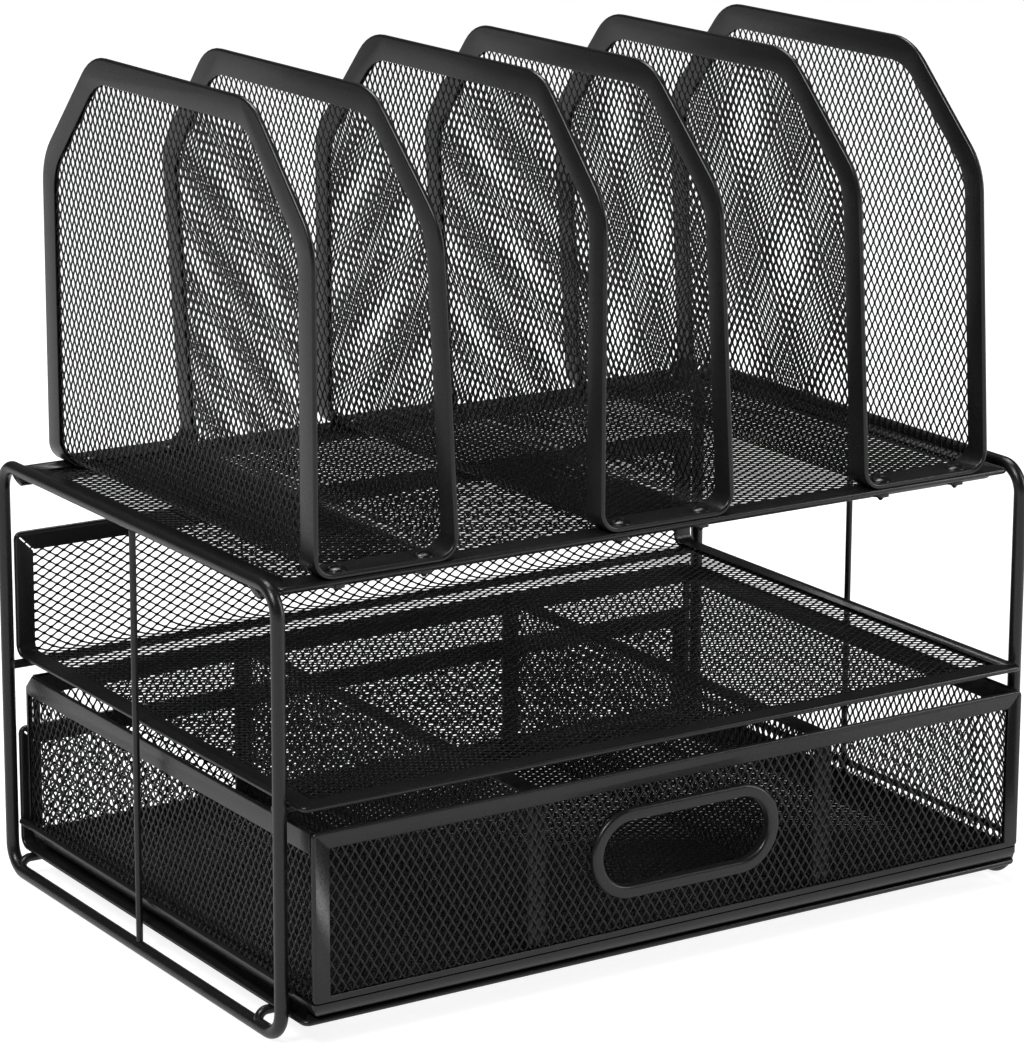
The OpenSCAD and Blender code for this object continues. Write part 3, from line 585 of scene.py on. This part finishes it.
def soft_edged(name, node, body, weight_of, width, segments=4, grooves=(), shape=None,
               slot="coated_steel"):
    """A node's piece with rounded edges. weight_of gives an edge's share of the rounding width."""
    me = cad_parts[node].data.copy()
    me.name = name
    bm = bmesh.new()
    bm.from_mesh(me)
    bmesh.ops.remove_doubles(bm, verts=bm.verts[:], dist=TINY)
    bmesh.ops.dissolve_limit(bm, angle_limit=FLAT_ANGLE, verts=bm.verts[:], edges=bm.edges[:])
    if shape:
        shape(bm)
    layer = bm.edges.layers.float.new("bevel_weight_edge")
    for e in bm.edges:
        if len(e.link_faces) == 2 and e.calc_face_angle(0.0) > EDGE_ANGLE:
            e[layer] = weight_of(*(np.array(v.co) / MM for v in e.verts))
    bm.to_mesh(me)
    bm.free()
    obj = bpy.data.objects.new(name, me)
    bpy.context.scene.collection.objects.link(obj)
    bevel = obj.modifiers.new("rounding", "BEVEL")
    bevel.limit_method = "WEIGHT"
    bevel.width, bevel.segments = width * MM, segments
    bevel.use_clamp_overlap, bevel.loop_slide = False, False
    bevel.miter_outer = "MITER_ARC"
    if grooves:
        cutter = bpy.data.objects.new(name + "_cutter", groove_mesh(grooves))
        bpy.context.scene.collection.objects.link(cutter)
        cut = obj.modifiers.new("seams", "BOOLEAN")
        cut.operation, cut.solver, cut.object = "DIFFERENCE", "MANIFOLD", cutter
    even = obj.modifiers.new("even_normals", "WEIGHTED_NORMAL")
    even.keep_sharp, even.weight = True, NORMAL_WEIGHT
    bpy.context.view_layer.update()
    done = bpy.data.meshes.new_from_object(obj.evaluated_get(
        bpy.context.evaluated_depsgraph_get()))
    done.name = name
    obj.modifiers.clear()
    obj.data = done
    if grooves:
        bpy.data.objects.remove(cutter)
    done.shade_smooth()
    done.set_sharp_from_angle(angle=SHARP_ANGLE)
    bpy.context.scene.collection.objects.unlink(obj)
    finish_piece(obj, body, slot, node)


# ---------------------------------------------------------------- mesh sheets
def tray_sheet(prefix):
    """Mesh of the base tray or the middle shelf: its form, and its hem's outer edges."""
    lo, hi = mm_box(prefix + "_hem")
    back = hi[1] - HEM / 2
    form = TraySheet(lo[2] + HEM / 2, back - TRAY_BEND, TRAY_BEND)
    top = form.to_flat(np.array([[0, back, hi[2]]]))[0][1]
    edge = FOLD + TRAY_HIDDEN
    outline = rectangle(lo[0] + edge, hi[0] - edge, lo[1] + edge, top - edge, SHEET_CORNER)
    expanded_sheet(prefix + "_mesh", "stand", form, outline)
    return form, (lo[0], hi[0], lo[1], top)


def top_shelf_sheet():
    """Mesh of the top shelf, and its form."""
    form, lo, hi = plane_in("top_shelf_mesh", (0, 0, 1))
    expanded_sheet("top_shelf_mesh", "stand", form,
                   rectangle(lo[0], hi[0], lo[1], hi[1], SHEET_CORNER))
    return form


def holder_sheet(side):
    """Mesh of one holder: its form, and its middle along y."""
    x, lean_left, lean_right = HOLDERS[side]
    lo, hi = mm_box(side + "_holder_hem")
    form = HolderSheet(x, lo[2] + HEM / 2, HOLDER_HALF_W, HOLDER_BEND, lean_left, lean_right)
    mid_y = (lo[1] + hi[1]) / 2
    expanded_sheet(side + "_holder_mesh", "stand", form,
                   holder_outline(form, mid_y, FOLD + HOLDER_HIDDEN))
    return form, mid_y


def drawer_sheets():
    """All the drawer's mesh. Gives back the form of the front."""
    front, lo, hi = plane_in("drawer_front_mesh", (0, -1, 0))
    ring_lo, ring_hi = mm_box("drawer_handle_ring")
    half = (ring_hi - ring_lo) / 2 - RING_W
    hole = stadium_ring((ring_lo[2] + ring_hi[2]) / 2, 0.0, half[2], half[0])
    expanded_sheet("drawer_front_mesh", "drawer", front,
                   rectangle(lo[2], hi[2], lo[0], hi[0]), hole)
    for side, facing in (("left", (-1, 0, 0)), ("right", (1, 0, 0))):
        form, lo, hi = plane_in(f"drawer_{side}_mesh", facing)
        expanded_sheet(f"drawer_{side}_mesh", "drawer", form, chamfered(lo, hi, SHEET_CHAMFER))
        form, lo, hi = plane_in(f"{side}_partition_mesh", (1, 0, 0))
        expanded_sheet(f"{side}_partition_mesh", "drawer", form,
                       rectangle(lo[2], hi[2], lo[1], hi[1]))
    form, lo, hi = plane_in("drawer_rear_mesh", (0, 1, 0))
    expanded_sheet("drawer_rear_mesh", "drawer", form,
                   rectangle(lo[2], hi[2], lo[0], hi[0]))
    form, lo, hi = plane_in("drawer_floor_mesh", (0, 0, 1))
    expanded_sheet("drawer_floor_mesh", "drawer", form,
                   rectangle(lo[0], hi[0], lo[1], hi[1]))
    return front


# ---------------------------------------------------------------- folded hems
def hem_weight(form, outline, plain=None):
    """Full rounding along the outline, a little on the other outer edges, none in the fold."""
    def weight(a, b):
        flat = form.to_flat(np.array([a, b]))
        if abs(flat[:, 2]).min() < IN_FOLD or flat[0, 2] * flat[1, 2] < 0:
            return 0.0
        if plain is not None and plain(flat):
            return 0.0
        return 1.0 if (beyond(flat[:, :2], outline) > -AT_RIM).all() else NOSE_SHARE
    return weight


def ring_weight():
    """Full rounding on the handle ring's front, a little on its back."""
    lo, hi = mm_box("drawer_handle_ring")
    front, back = lo[1] + NEAR, hi[1] - NEAR

    def weight(a, b):
        if max(a[1], b[1]) < front:
            return 1.0
        return RING_SHARE if min(a[1], b[1]) > back else 0.0
    return weight


def seam(form, inner, outer):
    """Cutters for a closed mitre seam on both faces, between a window's corner and the rim."""
    inner, outer = np.array(inner, float), np.array(outer, float)
    d = (outer - inner) / np.linalg.norm(outer - inner)
    mid, reach = (inner + outer) / 2, np.linalg.norm(outer - inner) / 2 + SEAM_PAST
    out = []
    for n in (-1.0, 1.0):
        at = np.array([*mid, n])
        axes = [(*(d * reach), 0), (-d[1] * SEAM_WIDE, d[0] * SEAM_WIDE, 0), (0, 0, SEAM_DEEP)]
        place = form.to_world(at[None])[0]
        out.append((place, *[form.to_world((at + np.array(v))[None])[0] - place for v in axes]))
    return out


def tray_hem(prefix, form, p0, p1, q0, q1):
    """Hem of the base tray or the middle shelf, with a seam at each front corner."""
    window_q = q0 + (BASE_FRONT_W if prefix == "base_tray" else TRAY_HEM_W)
    grooves = []
    for sign, p in ((1, p0), (-1, p1)):
        grooves += seam(form, (p + sign * TRAY_HEM_W, window_q),
                        (p + sign * SEAM_START, q0 + SEAM_START))
    outline = rectangle(p0, p1, q0, q1, HEM_CORNER)
    soft_edged(prefix + "_folded_hem", prefix + "_hem", "stand", hem_weight(form, outline), NOSE,
               grooves=grooves)


def top_shelf_hem(form):
    """Hem of the top shelf, with a seam at each corner."""
    lo, hi = mm_box("top_shelf_hem")
    grooves = []
    for sp, p in ((1, lo[0]), (-1, hi[0])):
        for sq, q in ((1, lo[1]), (-1, hi[1])):
            grooves += seam(form, (p + sp * TOP_HEM_W, q + sq * TOP_FRONT_W),
                            (p + sp * SEAM_START, q + sq * SEAM_START))
    outline = rectangle(lo[0], hi[0], lo[1], hi[1], HEM_CORNER)
    soft_edged("top_shelf_folded_hem", "top_shelf_hem", "stand", hem_weight(form, outline), NOSE,
               grooves=grooves)


def holder_hem(side, form, mid_y):
    """Hem of one holder, from its form and its middle along y."""
    soft_edged(side + "_holder_folded_hem", side + "_holder_hem", "stand",
               hem_weight(form, holder_outline(form, mid_y, 0.0)), NOSE)


def drawer_hems(front):
    """The drawer's hems, handle ring and partition strips. Welded edges stay sharp."""
    lo, hi = mm_box("drawer_front_hem")
    grooves = []
    for sign, q in ((1, lo[0]), (-1, hi[0])):
        grooves += seam(front, (hi[2] - DRAWER_TOP_W, q + sign * DRAWER_HEM_W),
                        (hi[2] - DRAWER_SEAM_START, q + sign * DRAWER_SEAM_START))
    outline = rectangle(lo[2], hi[2], lo[0], hi[0], DRAWER_CORNER)
    soft_edged("drawer_front_folded_hem", "drawer_front_hem", "drawer",
               hem_weight(front, outline), NOSE, grooves=grooves)

    for side, facing in (("left", (-1, 0, 0)), ("right", (1, 0, 0))):
        form, lo, hi = plane_in(f"drawer_{side}_hem", facing)
        bottom, start = lo[2] + NEAR, lo[1] + NEAR
        weight = hem_weight(form, chamfered(lo, hi, SIDE_CHAMFER),
                            lambda f: (f[:, 0] < bottom).all() or (f[:, 1] < start).all())
        soft_edged(f"drawer_{side}_folded_hem", f"drawer_{side}_hem", "drawer", weight, NOSE)

    form, lo, hi = plane_in("drawer_rear_hem", (0, 1, 0))
    top = hi[2] - NEAR
    weight = hem_weight(form, rectangle(lo[2], hi[2], lo[0], hi[0]),
                        lambda f: (f[:, 0] < top).any())
    soft_edged("drawer_rear_folded_hem", "drawer_rear_hem", "drawer", weight, NOSE)

    soft_edged("drawer_handle_grommet", "drawer_handle_ring", "drawer", ring_weight(), RING_NOSE,
               segments=5)

    for side in ("left", "right"):
        top = mm_box(f"{side}_partition_strip")[1][2] - NEAR
        soft_edged(f"{side}_partition_edging", f"{side}_partition_strip", "drawer",
                   lambda a, b: 1.0 if min(a[2], b[2]) > top else STRIP_SHARE, STRIP_NOSE)


# ---------------------------------------------------------------- screws and nuts
shelf_lo, shelf_hi = mm_box("top_shelf_hem")
seat_z, nut_top = shelf_hi[2] + HEM, shelf_lo[2]


def low_domes(bm):
    """Flatter domed heads and shorter points."""
    for v in bm.verts:
        z = v.co.z / MM
        if z > seat_z:
            v.co.z = (seat_z + (z - seat_z) * DOME) * MM
        elif z < nut_top:
            v.co.z = (nut_top - (nut_top - z) * TIP) * MM


def loose_parts(bm):
    """The vertices of each separate part of a mesh."""
    left = set(bm.verts)
    while left:
        stack, part = [left.pop()], []
        while stack:
            v = stack.pop()
            part.append(v)
            for e in v.link_edges:
                other = e.other_vert(v)
                if other in left:
                    left.remove(other)
                    stack.append(other)
        yield part


def slim_nuts(bm):
    """Thinner, narrower nuts under the shelf, each with its bore kept."""
    for part in loose_parts(bm):
        xs, ys = [v.co.x for v in part], [v.co.y for v in part]
        cx, cy = (min(xs) + max(xs)) / 2, (min(ys) + max(ys)) / 2
        for v in part:
            v.co.z = (nut_top - (nut_top - v.co.z / MM) * NUT_DEEP) * MM
            if math.hypot(v.co.x - cx, v.co.y - cy) > BORE_R * MM:
                v.co.x, v.co.y = cx + (v.co.x - cx) * NUT_WIDE, cy + (v.co.y - cy) * NUT_WIDE


def fasteners():
    """The screws that hold the holders to the top shelf, and their nuts."""
    soft_edged("holder_domed_screws", "holder_screws", "stand", lambda a, b: 1.0, SCREW_BREAK,
               segments=2, shape=low_domes, slot="screw_steel")
    soft_edged("holder_hex_nuts", "holder_nuts", "stand", lambda a, b: 1.0, NUT_BREAK,
               segments=2, shape=slim_nuts, slot="screw_steel")


def coat_kept_nodes():
    """Wires, bars and strips: the CAD nodes that stay as they are."""
    coat = materials["coated_steel"]
    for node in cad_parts.values():
        slots = node.data.materials
        if node.hide_render:
            continue
        if slots:
            for k in range(len(slots)):
                slots[k] = coat
        else:
            slots.append(coat)


# ---------------------------------------------------------------- floor, backdrop and light
FLOOR_HALF = 6.0
FLOOR_SHADE, FLOOR_GLOW, FLOOR_SHEEN = 0.45, 0.88, 0.5
FLOOR_ROUGH = 0.9
BACKDROP_SEEN, BACKDROP_LIGHT = 1.0, 0.05
SOFTBOXES = {                                # place, aim, size and power in watts
    "key_softbox": ((-1.5, -0.6, 1.9), (0, 0, 0.15), (0.9, 0.9), 34.0),
    "edge_softbox": ((1.5, -1.0, 0.8), (0, 0, 0.15), (0.3, 1.5), 14.0),
    "top_softbox": ((0.1, 0.7, 2.1), (0, 0, 0.1), (1.4, 0.7), 30.0),
}


def plain_white(name, shade, glow, sheen):
    """A white that the camera sees at its glow and a glossy surface mirrors at its sheen."""
    m = bpy.data.materials.new(name)
    m.use_nodes = True
    nodes, links = m.node_tree.nodes, m.node_tree.links
    shader = nodes["Principled BSDF"]
    shader.inputs["Base Color"].default_value = (shade, shade, shade, 1)
    shader.inputs["Roughness"].default_value = FLOOR_ROUGH
    shader.inputs["Specular IOR Level"].default_value = 0.0
    shader.inputs["Emission Color"].default_value = (1, 1, 1, 1)
    path = nodes.new("ShaderNodeLightPath")
    seen, mirrored, lift = (nodes.new("ShaderNodeMath") for _ in range(3))
    for node, ray, strength in ((seen, "Is Camera Ray", glow), (mirrored, "Is Glossy Ray", sheen)):
        node.operation = "MULTIPLY"
        node.inputs[1].default_value = strength
        links.new(path.outputs[ray], node.inputs[0])
    lift.operation = "ADD"
    links.new(seen.outputs["Value"], lift.inputs[0])
    links.new(mirrored.outputs["Value"], lift.inputs[1])
    links.new(lift.outputs["Value"], shader.inputs["Emission Strength"])
    return m


def make_floor():
    """The plain floor that the organizer stands on."""
    me = bpy.data.meshes.new("studio_floor")
    s = FLOOR_HALF
    me.from_pydata([(-s, -s, 0), (s, -s, 0), (s, s, 0), (-s, s, 0)], [], [(0, 1, 2, 3)])
    floor = bpy.data.objects.new("studio_floor", me)
    me.materials.append(plain_white("studio_white", FLOOR_SHADE, FLOOR_GLOW, FLOOR_SHEEN))
    bpy.context.scene.collection.objects.link(floor)


def make_backdrop():
    """A world that the camera sees white and that lights the object only a little."""
    world = bpy.data.worlds.new("studio_world")
    bpy.context.scene.world = world
    world.use_nodes = True
    nodes, links = world.node_tree.nodes, world.node_tree.links
    nodes.clear()
    out = nodes.new("ShaderNodeOutputWorld")
    mix = nodes.new("ShaderNodeMixShader")
    path = nodes.new("ShaderNodeLightPath")
    seen, light = (nodes.new("ShaderNodeBackground") for _ in range(2))
    for node, strength in ((seen, BACKDROP_SEEN), (light, BACKDROP_LIGHT)):
        node.inputs["Color"].default_value = (1, 1, 1, 1)
        node.inputs["Strength"].default_value = strength
    links.new(path.outputs["Is Camera Ray"], mix.inputs["Fac"])
    links.new(light.outputs["Background"], mix.inputs[1])
    links.new(seen.outputs["Background"], mix.inputs[2])
    links.new(mix.outputs["Shader"], out.inputs["Surface"])


def softbox(name, place, aim, size, power):
    """A rectangular lamp turned to what it lights."""
    data = bpy.data.lights.new(name, "AREA")
    data.shape = "RECTANGLE"
    data.size, data.size_y = size
    data.energy = power
    lamp = bpy.data.objects.new(name, data)
    lamp.location = place
    lamp.rotation_mode = "QUATERNION"
    lamp.rotation_quaternion = (Vector(aim) - Vector(place)).to_track_quat("-Z", "Y")
    bpy.context.scene.collection.objects.link(lamp)


# ---------------------------------------------------------------- the scene
make_camera()
trays = {prefix: tray_sheet(prefix) for prefix in ("base_tray", "middle_shelf")}
shelf_form = top_shelf_sheet()
holders = {side: holder_sheet(side) for side in HOLDERS}
front_form = drawer_sheets()

for prefix, (form, edges) in trays.items():
    tray_hem(prefix, form, *edges)
top_shelf_hem(shelf_form)
for side, (form, mid_y) in holders.items():
    holder_hem(side, form, mid_y)
drawer_hems(front_form)
fasteners()
coat_kept_nodes()

make_floor()
make_backdrop()
for name, setting in SOFTBOXES.items():
    softbox(name, *setting)

bpy.context.scene.view_settings.view_transform = "Standard"
